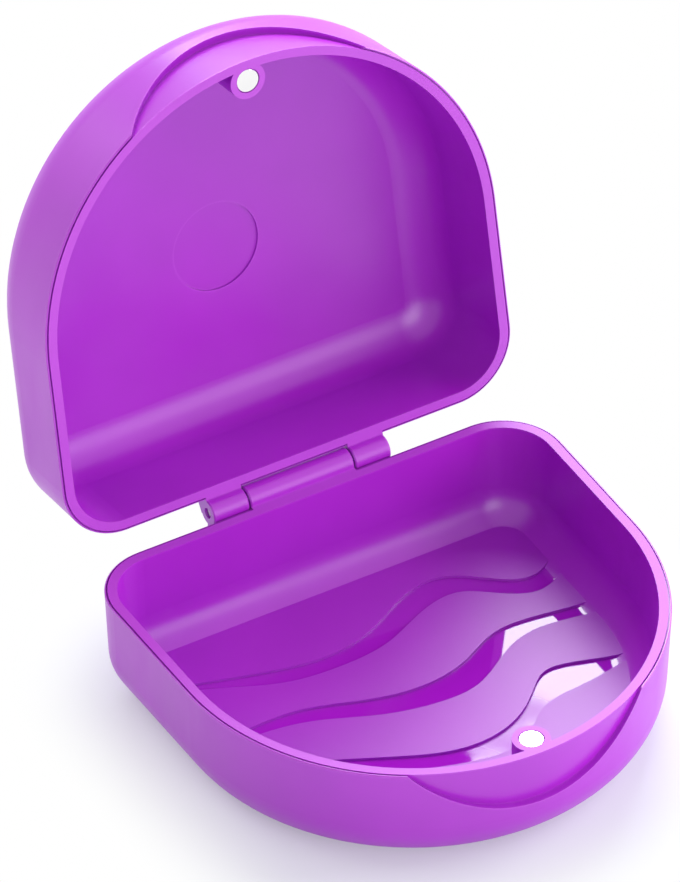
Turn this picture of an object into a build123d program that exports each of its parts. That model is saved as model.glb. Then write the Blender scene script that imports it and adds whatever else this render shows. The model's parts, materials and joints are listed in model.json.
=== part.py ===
from build123d import *
import math
import os

# Denture case: a D-shaped clamshell with wavy drying grooves, a pinned hinge and magnet catches.
# Millimetres. X runs along the hinge, the front is -Y, +Z is up. The origin is on the table, in the
# middle of the flat underside. The lid is stored fully open, leaning back on its stop heels.

# ---- driving dimensions -------------------------------------------------------------------------
case_width = 80.2          # across the straight side walls, at the rim
case_depth = 73.05         # back wall to front apex, at the rim
back_corner_radius = 10.3  # plan radius of the two back corners
half_height = 19.2         # each half, rim to outer face
wall = 2.0                 # wall thickness at the rim
tray_floor = 2.3           # tray floor under the grooves
lid_panel = 1.3            # the lid's flat panel, light enough that the open case stands
draft_angle = 3.0          # moulding draft of every wall
outer_fillet = 8.0         # outer edge between wall and floor
inner_fillet = 6.0         # inner edge between wall and floor

rim_band = 1.5             # width of the raised band on the inner side of the rim
skin_drop = 0.1            # the outer skin's top edge below the band
skin_bevel = 0.15          # outer edge of the skin's top
shadow_gap = 0.25          # fine groove between band and skin
shadow_depth = 0.4         # its floor below the skin's top edge

scoop_half_width = 21.0    # thumb scoop: half its chord along the rim
scoop_height = 9.8         # how far it runs down from the rim
scoop_slope = 7.5          # degrees that the scooped face leans in

slat_height = 0.45         # raised slats above the groove floor

magnet_diameter = 4.0
magnet_thickness = 2.0
magnet_chamfer = 0.15
magnet_setback = 4.05      # magnet centre from the front apex
magnet_side_gap = 0.05     # radial clearance in the pocket
magnet_drop = 0.05         # below the rim plane
boss_wall = 1.0            # plastic round the magnet
boss_bite = 0.3            # how deep the boss is sunk into the wall and the floor

open_angle = 101.7         # the lid swings this far from closed
closed_gap = 0.1           # between the two rims when shut
hinge_radius = 2.2         # knuckle barrels
hinge_gap = 0.1            # barrel to the back wall plane
knuckle_gap = 0.3          # between neighbouring knuckles
knuckle_chamfer = 0.2
base_knuckle_length = 18.5
lid_knuckle_length = 6.3
pin_diameter = 1.8
pin_chamfer = 0.2
pin_running_gap = 0.05     # radial, in the base knuckle
pin_end_recess = 0.4       # pin end below the knuckle's end face
gusset_drop = 3.4          # how far the knuckle's web runs along the back wall
web_bite = 0.8             # how deep the web is sunk into the wall

heel_height = 1.2          # contact pad of the stop heel
heel_drop = 1.5            # its upper edge below the hinge axis
heel_gap = 0.04            # to the base wall when the lid is fully open

recess_diameter = 15.0     # plain round recess in the lid's panel
recess_depth = 0.4
recess_setback = 31.5      # its centre from the back wall

# ---- derived sizes ------------------------------------------------------------------------------
front_radius = case_width / 2
front_centre_y = front_radius - case_depth
hinge_y = hinge_radius + hinge_gap
hinge_z = closed_gap / 2
magnet_y = magnet_setback - case_depth
boss_radius = magnet_diameter / 2 + magnet_side_gap + boss_wall
band_inset = wall - rim_band
origin_y = case_depth / 2
beyond = 4 * case_width    # size of the plain blocks used for cutting, well past the case


def d_face(inset):
    """The plan outline of the rim as a flat face: back wall on y = 0, front apex at -case_depth."""
    half = case_width / 2 - inset
    corner = back_corner_radius - inset
    back = -inset
    apex = inset - case_depth
    side_back = back - corner
    diagonal = corner * math.sqrt(0.5)
    right_mid = (half - corner + diagonal, side_back + diagonal)
    left_mid = (-right_mid[0], right_mid[1])
    edges = [
        Line((corner - half, back), (half - corner, back)),
        ThreePointArc((half - corner, back), right_mid, (half, side_back)),
        Line((half, side_back), (half, front_centre_y)),
        ThreePointArc((half, front_centre_y), (0, apex), (-half, front_centre_y)),
        Line((-half, front_centre_y), (-half, side_back)),
        ThreePointArc((-half, side_back), left_mid, (corner - half, back)),
    ]
    return make_face(Wire(edges))


def tapered_d(inset, height, slope):
    """A D-shaped solid hanging down from the rim plane, narrowing by the slope."""
    return extrude(d_face(inset), amount=height, dir=(0, 0, -1), taper=slope)


def slab(top, bottom):
    """A wide flat solid between two levels."""
    return Pos(0, 0, (top + bottom) / 2) * Box(beyond, beyond, top - bottom)


def bottom_rounded(solid, radius):
    """Rounds the edge between the wall and the lowest face."""
    lowest = solid.faces().sort_by(Axis.Z)[0]
    return fillet(lowest.edges(), radius)


def ring(outer_inset, inner_inset, top, bottom):
    """A D-shaped ring with upright sides, between two levels."""
    height = top - bottom
    outer = tapered_d(outer_inset, height, 0)
    return Pos(0, 0, top) * (outer - tapered_d(inner_inset, height, 0))


def cavity(floor_thickness):
    """The space inside one half, from the rim down to its floor."""
    depth = half_height - floor_thickness
    return bottom_rounded(tapered_d(wall, depth, draft_angle), inner_fillet)


def skin_body():
    """The closed body under the skin's top edge, which is bevelled."""
    top_inset = skin_drop * math.tan(math.radians(draft_angle))
    body = bottom_rounded(tapered_d(top_inset, half_height - skin_drop, draft_angle), outer_fillet)
    return Pos(0, 0, -skin_drop) * chamfer(body.faces().sort_by(Axis.Z)[-1].edges(), skin_bevel)


def thumb_scoop():
    """What is cut from the front wall: everything outside a leaning face, under an arched edge."""
    arch = (scoop_half_width**2 + scoop_height**2) / (2 * scoop_height)
    place = Pos(0, -case_depth, arch - scoop_height) * Rot(90, 0, 0)
    front = Pos(0, -case_depth, 0) * Box(beyond, case_depth, beyond)
    below_rim = slab(-skin_drop, -2 * scoop_height) & front
    face = tapered_d(band_inset, 2 * scoop_height, scoop_slope)
    return (place * Cylinder(arch, case_depth) - face) & below_rim


def cup():
    """One half of the case with its rim on z = 0, opening upwards, without its hinge."""
    band_height = skin_drop + shadow_depth
    band = tapered_d(band_inset, band_height, 0)
    gap = ring(band_inset - shadow_gap, band_inset, -skin_drop, -band_height)
    return skin_body() + band - gap - thumb_scoop()


def magnet_boss(floor_thickness):
    """The round column that holds a magnet, from the floor up to the rim plane."""
    column = Pos(0, magnet_y, -half_height / 2) * Cylinder(boss_radius, half_height)
    depth = half_height - floor_thickness + boss_bite
    return column & bottom_rounded(tapered_d(wall - boss_bite, depth, draft_angle), inner_fillet)


def magnet_pocket():
    depth = magnet_drop + magnet_thickness
    radius = magnet_diameter / 2 + magnet_side_gap
    return Pos(0, magnet_y, -depth / 2) * Cylinder(radius, depth)


def magnet():
    z = -magnet_drop - magnet_thickness / 2
    disc = Cylinder(magnet_diameter / 2, magnet_thickness)
    disc = chamfer(disc.edges().filter_by(GeomType.CIRCLE), magnet_chamfer)
    return Pos(0, magnet_y, z) * disc


# ---- the wavy grooves: far edge and near edge of each, across the whole floor --------------------
wave_edges = [
    ([(-36, -13.4), (-26, -15.6), (-16, -18.4), (-7, -19.6), (2.5, -17.3), (11, -12.9), (17, -12.2),
      (23, -15.8), (29.5, -19.2), (34, -17.1), (36, -13.4)],
     [(-36, -15.0), (-26, -17.6), (-16, -21.8), (-7, -22.8), (2.5, -21.6), (11, -17.8), (18, -16.9),
      (23, -20.1), (29, -22.8), (33.5, -21.1), (38, -15.9)]),
    ([(-36, -29.8), (-25.5, -28.3), (-17, -28.6), (-7.5, -31.6), (3.3, -33.1), (11, -31.1),
      (17.7, -27.9), (24, -27.6), (31, -28.6), (37, -28.8)],
     [(-36, -31.4), (-25.5, -30.4), (-17, -31.9), (-8, -35.6), (2.2, -37.9), (9, -37.4), (14, -34.7),
      (20, -31.2), (25, -30.4), (31, -31.2), (37, -31.4)]),
    ([(-36, -37.0), (-27, -38.1), (-18.5, -41.6), (-10, -45.7), (-1.3, -48.9), (5.5, -48.9),
      (11.5, -46.5), (16, -42.7), (20, -39.7), (25, -40.2), (31, -42.0), (36, -42.2)],
     [(-36, -39.0), (-27, -40.9), (-18.5, -45.5), (-9, -49.9), (0, -52.7), (6.5, -52.9),
      (11.5, -50.1), (16, -46.7), (21, -45.7), (26, -45.1), (31, -44.1), (36, -43.9)]),
]


def wave_prism(far, near):
    """One groove's plan shape as a tall solid."""
    edges = [Spline(*far), Line(far[-1], near[-1]), Spline(*near), Line(near[0], far[0])]
    return Pos(0, 0, -half_height) * extrude(make_face(Wire(edges)), amount=half_height)


def base_cavity():
    """The tray's inside: clear above the slats, and down to the floor in the grooves."""
    whole = cavity(tray_floor)
    slat_top = tray_floor + slat_height - half_height
    space = whole & slab(half_height, slat_top)
    for far, near in wave_edges:
        space += whole & wave_prism(far, near)
    return space


def gusset_profile():
    """Half a barrel's web in the YZ plane: from the hinge axis to a point down the back wall."""
    foot_y = -(gusset_drop - hinge_z) * math.tan(math.radians(draft_angle))
    reach = math.hypot(hinge_y - foot_y, gusset_drop)
    foot_angle = math.atan2(-gusset_drop, foot_y - hinge_y)
    tangent_angle = foot_angle + math.acos(hinge_radius / reach)
    tangent = (hinge_y + hinge_radius * math.cos(tangent_angle),
               hinge_radius * math.sin(tangent_angle))
    return [(-web_bite, 0), (hinge_y, 0), tangent, (foot_y, -gusset_drop),
            (foot_y - web_bite, -gusset_drop)]


def along_x(points, start, length):
    """A YZ polygon pushed out along X from start."""
    corners = [(start, y, z) for y, z in points]
    return extrude(make_face(Polyline(*corners, close=True)), amount=length, dir=(1, 0, 0))


def x_cylinder(radius, start, length, y=0.0, z=0.0):
    return Pos(start + length / 2, y, z) * Rot(0, 90, 0) * Cylinder(radius, length)


def knuckle(start, length):
    """A hinge barrel on its web, for a half whose rim is on z = 0 and whose hinge axis is above it."""
    barrel = x_cylinder(hinge_radius, start, length, hinge_y, hinge_z)
    barrel = chamfer(barrel.edges().filter_by(GeomType.CIRCLE), knuckle_chamfer)
    web = Pos(0, 0, hinge_z) * along_x(gusset_profile(), start, length)
    inside = tapered_d(wall / 2, half_height, draft_angle)
    above_rim = slab(half_height, 0) & Pos(0, -case_depth, 0) * Box(beyond, 2 * case_depth, beyond)
    return barrel + (web - inside - above_rim)


def stop_heel(start, length):
    """The heel on a lid knuckle, in the place that it has when the lid is fully open."""
    lean = math.tan(math.radians(draft_angle))
    top = hinge_z - heel_drop
    bottom = top - heel_height
    profile = [(heel_gap + top * lean, top), (heel_gap + bottom * lean, bottom),
               (hinge_y, bottom), (hinge_y, top)]
    return along_x(profile, start, length)


lid_knuckle_starts = [base_knuckle_length / 2 + knuckle_gap,
                      -base_knuckle_length / 2 - knuckle_gap - lid_knuckle_length]
hinge_length = base_knuckle_length + 2 * (knuckle_gap + lid_knuckle_length)
hinge_axis = Axis((0, hinge_y, hinge_z), (1, 0, 0))
to_frame = Pos(0, origin_y, half_height)


def opened(closed_solid):
    """Swings a piece of the shut lid to the fully open pose."""
    return closed_solid.rotate(hinge_axis, -open_angle)


def turned_over(half):
    """Turns a half upside down and sets it on the other one with the closed gap."""
    return Pos(0, 0, closed_gap) * Rot(0, 180, 0) * half


def base_shell():
    body = cup() - base_cavity() + magnet_boss(tray_floor) - magnet_pocket()
    body += knuckle(-base_knuckle_length / 2, base_knuckle_length)
    bore = pin_diameter / 2 + pin_running_gap
    return body - x_cylinder(bore, -base_knuckle_length, 2 * base_knuckle_length, hinge_y, hinge_z)


def lid_shell():
    body = cup() - cavity(lid_panel) + magnet_boss(lid_panel) - magnet_pocket()
    panel = lid_panel - half_height - recess_depth / 2
    body -= Pos(0, -recess_setback, panel) * Cylinder(recess_diameter / 2, recess_depth)
    for start in lid_knuckle_starts:
        body += knuckle(start, lid_knuckle_length)
    body = opened(turned_over(body))
    for start in lid_knuckle_starts:
        body += stop_heel(start, lid_knuckle_length)
    return body - x_cylinder(pin_diameter / 2, -hinge_length, 2 * hinge_length, hinge_y, hinge_z)


def hinge_pin():
    length = hinge_length - 2 * pin_end_recess
    pin = x_cylinder(pin_diameter / 2, -length / 2, length, hinge_y, hinge_z)
    return chamfer(pin.edges().filter_by(GeomType.CIRCLE), pin_chamfer)


nodes = {
    "base_shell": base_shell(),
    "lid_shell": lid_shell(),
    "hinge_pin": hinge_pin(),
    "base_magnet": magnet(),
    "lid_magnet": opened(turned_over(magnet())),
}

os.makedirs("parts", exist_ok=True)
for name, shape in nodes.items():
    placed = to_frame * shape
    solids = placed.solids()
    print(name, len(solids), "solid(s)", round(placed.volume, 1), "mm3", placed.bounding_box())
    export_step(solids[0] if len(solids) == 1 else Compound(solids), f"parts/{name}.step")
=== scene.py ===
# %% [markdown]
# # A purple denture case, open on a white table
#
# The case is a clamshell of two D-shaped halves. The lower half, the tray, has wavy grooves in its
# floor that let water drain away. The upper half, the lid, leans back on its hinge. A steel pin holds
# the hinge, and two small round magnets hold the case shut.
#
# The solids come finished from the CAD step. This lesson gives them their finishes, sets up the
# studio and points the camera. Every length is in metres.

import json
import math

import bpy
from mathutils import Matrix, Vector


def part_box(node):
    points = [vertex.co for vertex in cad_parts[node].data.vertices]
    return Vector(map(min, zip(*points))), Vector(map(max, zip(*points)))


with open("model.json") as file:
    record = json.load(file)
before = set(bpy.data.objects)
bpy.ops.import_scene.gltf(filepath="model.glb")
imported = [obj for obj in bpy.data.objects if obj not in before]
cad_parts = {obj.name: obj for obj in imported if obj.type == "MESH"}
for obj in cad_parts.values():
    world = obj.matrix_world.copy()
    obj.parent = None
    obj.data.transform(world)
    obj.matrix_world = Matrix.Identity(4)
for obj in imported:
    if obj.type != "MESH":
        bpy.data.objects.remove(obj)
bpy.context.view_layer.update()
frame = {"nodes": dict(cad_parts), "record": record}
case_nodes = frame["nodes"]
tray_low, tray_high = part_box("base_shell")
lid_low, lid_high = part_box("lid_shell")
print("pieces:", sorted(case_nodes))
print("tray:", [round(1000 * v, 1) for v in tray_high - tray_low], "mm")
print("lid:", [round(1000 * v, 1) for v in lid_high - lid_low], "mm")

# %% [markdown]
# ## A small workbench for materials
#
# A finish is a graph of nodes: textures make a pattern, a ramp turns the pattern into a colour or a
# roughness, and one shader uses them all. Building such a graph takes the same three moves every
# time: add a node, set its values, and link it. The helper below does these, so that each finish
# reads as a short recipe.


# %% The material workbench
class Finish:
    """One material's node graph, with the shader that it ends in."""

    def __init__(self, name):
        self.material = bpy.data.materials.new(name)
        self.material.use_nodes = True
        self.tree = self.material.node_tree
        self.shader = self.tree.nodes["Principled BSDF"]
        place = self.add("ShaderNodeTexCoord")
        self.place = place.outputs["Object"]
        self.face = place.outputs["Normal"]

    def add(self, kind, inputs=None, **settings):
        """A new node. inputs gives each socket a value or a link."""
        node = self.tree.nodes.new(kind)
        for key, value in settings.items():
            setattr(node, key, value)
        for socket, value in (inputs or {}).items():
            self.feed(node.inputs[socket], value)
        return node

    def feed(self, socket, value):
        if isinstance(value, bpy.types.NodeSocket):
            self.tree.links.new(value, socket)
        else:
            socket.default_value = value

    def math(self, operation, first, second=0.0):
        node = self.add("ShaderNodeMath", {0: first, 1: second}, operation=operation)
        return node.outputs[0]

    def dot(self, first, second):
        node = self.add("ShaderNodeVectorMath", {0: first, 1: second}, operation="DOT_PRODUCT")
        return node.outputs["Value"]

    def noise(self, scale, detail=2.0, stretch=(1, 1, 1)):
        """A cloudy pattern. The scale is in waves for each metre."""
        mapped = self.add("ShaderNodeMapping", {"Vector": self.place, "Scale": stretch})
        node = self.add(
            "ShaderNodeTexNoise",
            {"Vector": mapped.outputs[0], "Scale": scale, "Detail": detail},
        )
        return node.outputs["Fac"]

    def ramp(self, value, low, high, from_low=0.0, from_high=1.0):
        """Maps a pattern onto a range of numbers, held at both ends."""
        node = self.add(
            "ShaderNodeMapRange",
            {"Value": value, "From Min": from_low, "From Max": from_high, "To Min": low, "To Max": high},
        )
        return node.outputs["Result"]

    def blend(self, factor, first, second):
        """Mixes two colours by a factor."""
        node = self.add("ShaderNodeMix", data_type="RGBA")
        self.feed(node.inputs["Factor"], factor)
        self.feed(node.inputs[6], first)
        self.feed(node.inputs[7], second)
        return node.outputs[2]

    def mix(self, factor, first, second):
        """Mixes two numbers by a factor."""
        node = self.add("ShaderNodeMix", data_type="FLOAT")
        for index, value in enumerate((factor, first, second)):
            self.feed(node.inputs[(0, 2, 3)[index]], value)
        return node.outputs[0]

    def bump(self, height, distance, under=None):
        """A raised pattern. The distance is its height in metres, and under is a bump below it."""
        node = self.add("ShaderNodeBump", {"Height": height, "Distance": distance})
        if under is not None:
            self.feed(node.inputs["Normal"], under)
        return node.outputs["Normal"]

    def set(self, **inputs):
        """Shader inputs, with _ for a space in their names."""
        for name, value in inputs.items():
            self.feed(self.shader.inputs[name.replace("_", " ")], value)


def paint(node_name, finish):
    """Gives a CAD piece its finish."""
    slots = case_nodes[node_name].data.materials
    for index in range(len(slots)):
        slots[index] = finish.material
    print("painted", node_name, "with", finish.material.name)


# %% [markdown]
# ## Satin purple polypropylene
#
# Both halves are moulded in one purple plastic. The mould's steel was lightly blasted, so most faces
# are satin: a fine grain spreads each highlight. Handling leaves faint smears, which show as changes
# of gloss more than of colour. The flat rims of both halves are painted paler, as painted light where
# they catch more light than the faces inside. The sharp edges are painted paler as painted highlights
# mixed with rubbed wear. Handling scuffs the rims and the flat outer faces until they are nearly matt.
#
# The tray's floor has two more finishes. The slats have a coarser grain, so their sheen spreads far
# over them. In the grooves the mould was polished, so their floors shine like glass and mirror what
# stands behind the case, apart from a dull patch near the tray's magnet, where fingers reach in.
#
# Rims, slats and groove floors are flat faces in known planes. A mask finds each of them from its
# plane and the way it faces, so no groove has to be drawn again here.

# %% Masks for the special faces
groove_floor_height = 0.0023
slat_top_height = 0.00275
rim_height = 0.0192
level_margin = 0.0001
facing_limit = 0.8
fingered_spot = (0.0096, -0.0116, groove_floor_height)
fingered_inner_radius = 0.005
fingered_outer_radius = 0.011


def plane_mask(finish, point, facing):
    """1 on flat faces that look this way through this point, and 0 elsewhere."""
    across = finish.add("ShaderNodeVectorMath", {0: finish.place, 1: point}, operation="SUBTRACT")
    height = finish.dot(across.outputs[0], facing)
    near = finish.math("LESS_THAN", finish.math("ABSOLUTE", height), level_margin)
    towards = finish.math("GREATER_THAN", finish.dot(finish.face, facing), facing_limit)
    return finish.math("MULTIPLY", near, towards)


def edge_highlight_mask(finish, radius):
    """1 on sharp edges, which take a painted highlight and the rub of hands and the other half, and 0 on
    open faces.
    """
    rounded = finish.add("ShaderNodeBevel", {"Radius": radius}, samples=4)
    plain = finish.add("ShaderNodeNewGeometry")
    likeness = finish.dot(rounded.outputs[0], plain.outputs["Normal"])
    return finish.ramp(likeness, 1.0, 0.0, 0.90, 0.995)


def outer_mask(finish, rim_facing):
    """1 on the flat outer face, which looks away from the rim, and less towards the walls."""
    return finish.ramp(finish.dot(finish.face, rim_facing), 1.0, 0.0, -0.95, -0.3)


def fingered_mask(finish):
    """A cloudy half to 1 round the spot where fingers reach in, and 0 farther out."""
    away = finish.add("ShaderNodeVectorMath", {0: finish.place, 1: fingered_spot}, operation="DISTANCE")
    near = finish.ramp(away.outputs["Value"], 1.0, 0.0, fingered_inner_radius, fingered_outer_radius)
    patches = finish.ramp(finish.noise(150, 1.0), 0.55, 1.0, 0.35, 0.65)
    return finish.math("MULTIPLY", near, patches)


masks = (plane_mask, edge_highlight_mask, outer_mask, fingered_mask)
print("masks:", [mask.__name__ for mask in masks])

# %% [markdown]
# Each half takes the same recipe with its own rim. Where a mask is 1, its finish takes over from the
# satin below it, and the order matters: what is mixed in later lies on top.

# %% The purple plastic
plastic_colour = (0.38, 0.009, 0.535, 1)
plastic_pale = (0.43, 0.014, 0.59, 1)
# A paler purple: painted light on the rims, painted highlights mixed with wear on sharp edges.
plastic_highlight_and_wear = (0.56, 0.080, 0.70, 1)
plastic_ior = 1.70
satin_smooth = 0.30
satin_rough = 0.40
slat_roughness = 0.44
rim_roughness = 0.54
polished_roughness = 0.03
fingered_roughness = 0.45
# How far the flat rims are painted paler: painted light, where they catch more light.
rim_painted_light = 0.38
# How far from a sharp edge its painted highlight and rubbed wear reach.
edge_highlight_radius = 0.0006
grain_depth = 0.000006
sink_depth = 0.00005


def purple_plastic(name, rim_point, rim_facing, has_grooves):
    finish = Finish(name)
    clouds = finish.noise(38, 3.0)
    colour = finish.blend(finish.ramp(clouds, 0.0, 1.0, 0.35, 0.7), plastic_colour, plastic_pale)
    # Sharp edges are painted paler: painted highlights, broken up in patches like rubbed wear.
    rubbed_and_highlit = finish.ramp(finish.noise(420), 0.2, 0.7)
    highlight_and_wear = finish.math("MULTIPLY", edge_highlight_mask(finish, edge_highlight_radius), rubbed_and_highlit)
    smears = finish.noise(55, 4.0, (1.0, 2.6, 1.0))
    roughness = finish.ramp(smears, satin_smooth, satin_rough, 0.3, 0.72)
    grain = finish.noise(2600, 2.0)
    on_rim = plane_mask(finish, rim_point, rim_facing)
    # The rims take painted light: they are painted paler than the faces inside.
    highlight_and_wear = finish.math("MAXIMUM", highlight_and_wear, finish.math("MULTIPLY", on_rim, rim_painted_light))
    scuffed = finish.math("MAXIMUM", on_rim, outer_mask(finish, rim_facing))
    roughness = finish.mix(scuffed, roughness, rim_roughness)
    if has_grooves:
        on_slats = plane_mask(finish, (0, 0, slat_top_height), (0, 0, 1))
        on_floor = plane_mask(finish, (0, 0, groove_floor_height), (0, 0, 1))
        off_floor = finish.math("SUBTRACT", 1.0, on_floor)
        roughness = finish.mix(on_slats, roughness, slat_roughness)
        polish = finish.mix(fingered_mask(finish), polished_roughness, fingered_roughness)
        roughness = finish.mix(on_floor, roughness, polish)
        grain = finish.math("MULTIPLY", grain, off_floor)
        # The painted highlight and wear stay off the groove floors and the slats.
        highlight_and_wear = finish.math("MULTIPLY", highlight_and_wear, finish.math("SUBTRACT", off_floor, on_slats))
    # Painted light and highlights: rims and sharp edges blend toward the paler purple, with some wear.
    colour = finish.blend(highlight_and_wear, colour, plastic_highlight_and_wear)
    normal = finish.bump(grain, grain_depth, under=finish.bump(finish.noise(30), sink_depth))
    finish.set(Base_Color=colour, Roughness=roughness, IOR=plastic_ior, Normal=normal)
    return finish


lid_hinge = frame["record"]["behaviour"]["joints"][0]
hinge_axis = lid_hinge["pos_m"]
lid_lean = math.radians(lid_hinge["range_deg"][1])
lid_rim_facing = (0, -math.sin(lid_lean), -math.cos(lid_lean))
tray_plastic = purple_plastic("purple_tray_plastic", (0, 0, rim_height), (0, 0, 1), has_grooves=True)
lid_plastic = purple_plastic("purple_lid_plastic", hinge_axis, lid_rim_facing, has_grooves=False)
paint("base_shell", tray_plastic)
paint("lid_shell", lid_plastic)
print("the lid leans back", lid_hinge["range_deg"][1], "degrees")

# %% [markdown]
# ## The steel pin and the nickel magnets
#
# The pin is cut from drawn wire, so fine lines run along it. The magnets are plated with nickel and
# have been tumbled: they mirror the room, with a slight orange-peel and a few fine marks.

# %% Steel and nickel
steel_dark = (0.70, 0.70, 0.72, 1)
steel_light = (0.84, 0.83, 0.84, 1)
nickel_dark = (0.90, 0.90, 0.91, 1)
nickel_light = (0.97, 0.97, 0.97, 1)
scratch_depth = 0.000012


def drawn_steel():
    finish = Finish("drawn_steel_wire")
    lines = finish.noise(2500, 3.0, (0.05, 1, 1))
    tint = finish.noise(300, 2.0)
    colour = finish.blend(tint, steel_dark, steel_light)
    finish.set(
        Base_Color=colour,
        Metallic=1.0,
        Roughness=finish.ramp(lines, 0.30, 0.46),
        Normal=finish.bump(lines, scratch_depth),
    )
    return finish


def nickel_plating():
    finish = Finish("bright_nickel_plating")
    peel = finish.noise(900, 2.0)
    marks = finish.noise(1600, 4.0, (1, 0.12, 1))
    colour = finish.blend(finish.noise(260), nickel_dark, nickel_light)
    finish.set(
        Base_Color=colour,
        Metallic=1.0,
        Roughness=finish.ramp(marks, 0.08, 0.24, 0.35, 0.8),
        Normal=finish.bump(peel, scratch_depth),
    )
    return finish


paint("hinge_pin", drawn_steel())
nickel = nickel_plating()
paint("base_magnet", nickel)
paint("lid_magnet", nickel)

# %% [markdown]
# ## The table and the white room
#
# The case stands on a plain white table in a white room. The room's light comes from everywhere, so
# the world is a pale colour, and the camera and every shiny face see it as plain white. The table is
# matt white, and what falls on it shows the case's soft shadow. To the camera and in mirrors it also
# has a white of its own, so that it melts into the background. The share of that white is small
# beside the case, where the shadow lies, and is full a few centimetres farther out.

# %% The room
scene = bpy.context.scene
room_light = 0.42


def seen_or_mirrored(tree):
    """1 for a ray that the camera, a mirror or glass sends out, and 0 for light on its way."""
    rays = tree.nodes.new("ShaderNodeLightPath")
    total = rays.outputs["Is Camera Ray"]
    for name in ("Is Glossy Ray", "Is Transmission Ray"):
        either = tree.nodes.new("ShaderNodeMath")
        either.operation = "MAXIMUM"
        tree.links.new(total, either.inputs[0])
        tree.links.new(rays.outputs[name], either.inputs[1])
        total = either.outputs[0]
    return total


def white_room():
    world = bpy.data.worlds.new("white_room")
    world.use_nodes = True
    scene.world = world
    tree = world.node_tree
    glow = tree.nodes["Background"]
    glow.inputs["Color"].default_value = (1, 1, 1, 1)
    strength = tree.nodes.new("ShaderNodeMapRange")
    tree.links.new(seen_or_mirrored(tree), strength.inputs["Value"])
    strength.inputs["To Min"].default_value = room_light
    strength.inputs["To Max"].default_value = 1.0
    tree.links.new(strength.outputs["Result"], glow.inputs["Strength"])


white_room()
print("room light", room_light)

# %% The table
table_half = 3.0
table_colour = (0.84, 0.88, 0.93, 1)
footprint = (0.022, 0.022, 1.0)
white_from = 0.012
white_full = 0.034
least_white = 0.28


def white_share(tree):
    """The table's share of own white: low beside the case and full a little way out."""
    value = tree.nodes.new("ShaderNodeTexCoord").outputs["Object"]
    for operation, other in (("ABSOLUTE", None), ("SUBTRACT", footprint), ("MAXIMUM", (0, 0, 0))):
        step = tree.nodes.new("ShaderNodeVectorMath")
        step.operation = operation
        tree.links.new(value, step.inputs[0])
        if other is not None:
            step.inputs[1].default_value = other
        value = step.outputs[0]
    distance = tree.nodes.new("ShaderNodeVectorMath")
    distance.operation = "LENGTH"
    tree.links.new(value, distance.inputs[0])
    ramp = tree.nodes.new("ShaderNodeMapRange")
    ramp.interpolation_type = "SMOOTHSTEP"
    tree.links.new(distance.outputs["Value"], ramp.inputs["Value"])
    ramp.inputs["From Min"].default_value = white_from
    ramp.inputs["From Max"].default_value = white_full
    ramp.inputs["To Min"].default_value = least_white
    ramp.inputs["To Max"].default_value = 1.0
    return ramp.outputs["Result"]


def white_table():
    mesh = bpy.data.meshes.new("table_top")
    corners = [(-1, -1), (1, -1), (1, 1), (-1, 1)]
    mesh.from_pydata([(table_half * x, table_half * y, 0) for x, y in corners], [], [(0, 1, 2, 3)])
    table = bpy.data.objects.new("table_top", mesh)
    scene.collection.objects.link(table)
    material = bpy.data.materials.new("matt_white_table")
    material.use_nodes = True
    tree = material.node_tree
    matt = tree.nodes["Principled BSDF"]
    matt.inputs["Base Color"].default_value = table_colour
    matt.inputs["Roughness"].default_value = 0.9
    matt.inputs["Specular IOR Level"].default_value = 0.0
    own_white = tree.nodes.new("ShaderNodeEmission")
    share = tree.nodes.new("ShaderNodeMath")
    share.operation = "MULTIPLY"
    tree.links.new(seen_or_mirrored(tree), share.inputs[0])
    tree.links.new(white_share(tree), share.inputs[1])
    mix = tree.nodes.new("ShaderNodeMixShader")
    tree.links.new(share.outputs[0], mix.inputs["Fac"])
    tree.links.new(matt.outputs[0], mix.inputs[1])
    tree.links.new(own_white.outputs[0], mix.inputs[2])
    tree.links.new(mix.outputs[0], tree.nodes["Material Output"].inputs["Surface"])
    mesh.materials.append(material)
    return table


white_table()
print("table", 2 * table_half, "m wide")

# %% [markdown]
# ## The camera
#
# A product picture of something this small is taken with a long lens from some way off, so that
# parallel edges stay parallel. The camera looks down at 40 degrees, past the case's left front
# corner. Its place follows from three choices: the point that it looks at, the direction that it
# looks in and the height of the view at that point.

# %% Camera
view_azimuth = math.radians(30.5)
view_elevation = math.radians(40.2)
view_height = 0.1357
view_distance = 6.5
sensor = 24.0
aim = Vector((-0.0055, 0.0161, 0.0460))

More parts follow.
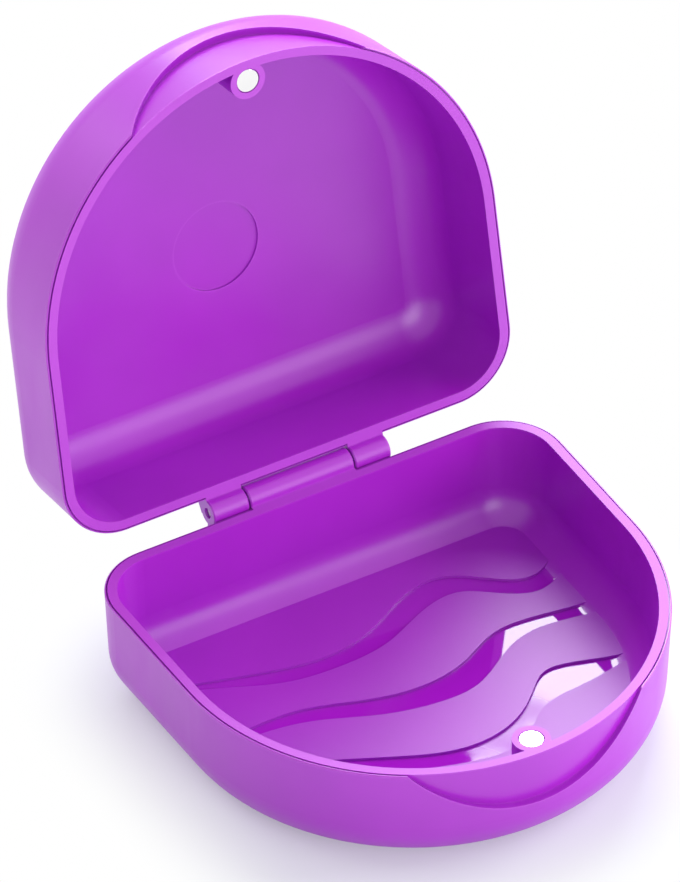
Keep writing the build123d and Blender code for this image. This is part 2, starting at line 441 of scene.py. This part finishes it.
look = Vector(
    (
        math.sin(view_azimuth) * math.cos(view_elevation),
        math.cos(view_azimuth) * math.cos(view_elevation),
        -math.sin(view_elevation),
    )
)
camera_data = bpy.data.cameras.new("studio_camera")
camera_data.sensor_fit = "VERTICAL"
camera_data.sensor_height = sensor
camera_data.lens = sensor * view_distance / view_height
camera_data.clip_end = 20.0
camera = bpy.data.objects.new("studio_camera", camera_data)
scene.collection.objects.link(camera)
camera.location = aim - look * view_distance
camera.rotation_euler = look.to_track_quat("-Z", "Y").to_euler()
scene.camera = camera
print("camera at", [round(v, 2) for v in camera.location], "lens", round(camera_data.lens), "mm")

# %% [markdown]
# ## The lamps
#
# The main lamp is a large soft box behind the case on the right, just where level faces mirror it
# towards the camera. It gives the rims and the slats their pale sheen, and it is what shows as white
# windows in the polished grooves, where the lid doesn't hide it from them. Its light is a little
# short of red, so that these windows stay cool beside the purple.
#
# Four wider and weaker lamps stand farther off. The front one shines low into the open lid and gives
# its panel and fillets their sheen. The right one, with a weak one between the two, reaches the inner
# walls at the tray's back and left. The one at the back left lights the lid's outer wall and top.

# %% Lamps
tray_middle = Vector((0, 0, groove_floor_height))


def soft_lamp(name, direction, distance, size, radiance):
    """A square lamp that faces the tray. Its power follows from how bright its face is."""
    lamp_data = bpy.data.lights.new(name, "AREA")
    lamp_data.shape = "SQUARE"
    lamp_data.size = size
    lamp_data.energy = radiance * math.pi * size**2
    lamp = bpy.data.objects.new(name, lamp_data)
    scene.collection.objects.link(lamp)
    towards = Vector(direction).normalized()
    lamp.location = tray_middle + towards * distance
    lamp.rotation_euler = (-towards).to_track_quat("-Z", "Y").to_euler()
    print(name, round(lamp_data.energy, 2), "W")
    return lamp


mirror_direction = (look.x, look.y, -look.z)
back_lamp = soft_lamp("back_lamp", mirror_direction, distance=0.9, size=0.6, radiance=8.2)
back_lamp.data.color = (0.90, 1.0, 0.97)
wide_lamps = (
    ("front_lamp", (0.0, -1.0, 0.35), 2.8),
    ("front_right_lamp", (0.8, -0.7, 0.35), 1.35),
    ("right_lamp", (0.95, -0.15, 0.5), 4.0),
    ("left_back_lamp", (-0.5, 0.7, 0.7), 2.0),
)
for lamp_name, lamp_direction, lamp_radiance in wide_lamps:
    soft_lamp(lamp_name, lamp_direction, distance=1.5, size=1.0, radiance=lamp_radiance)

# %% [markdown]
# ## Finish
#
# The picture keeps plain colours: no film look and no extra exposure.

# %% Plain colours
scene.view_settings.view_transform = "Standard"
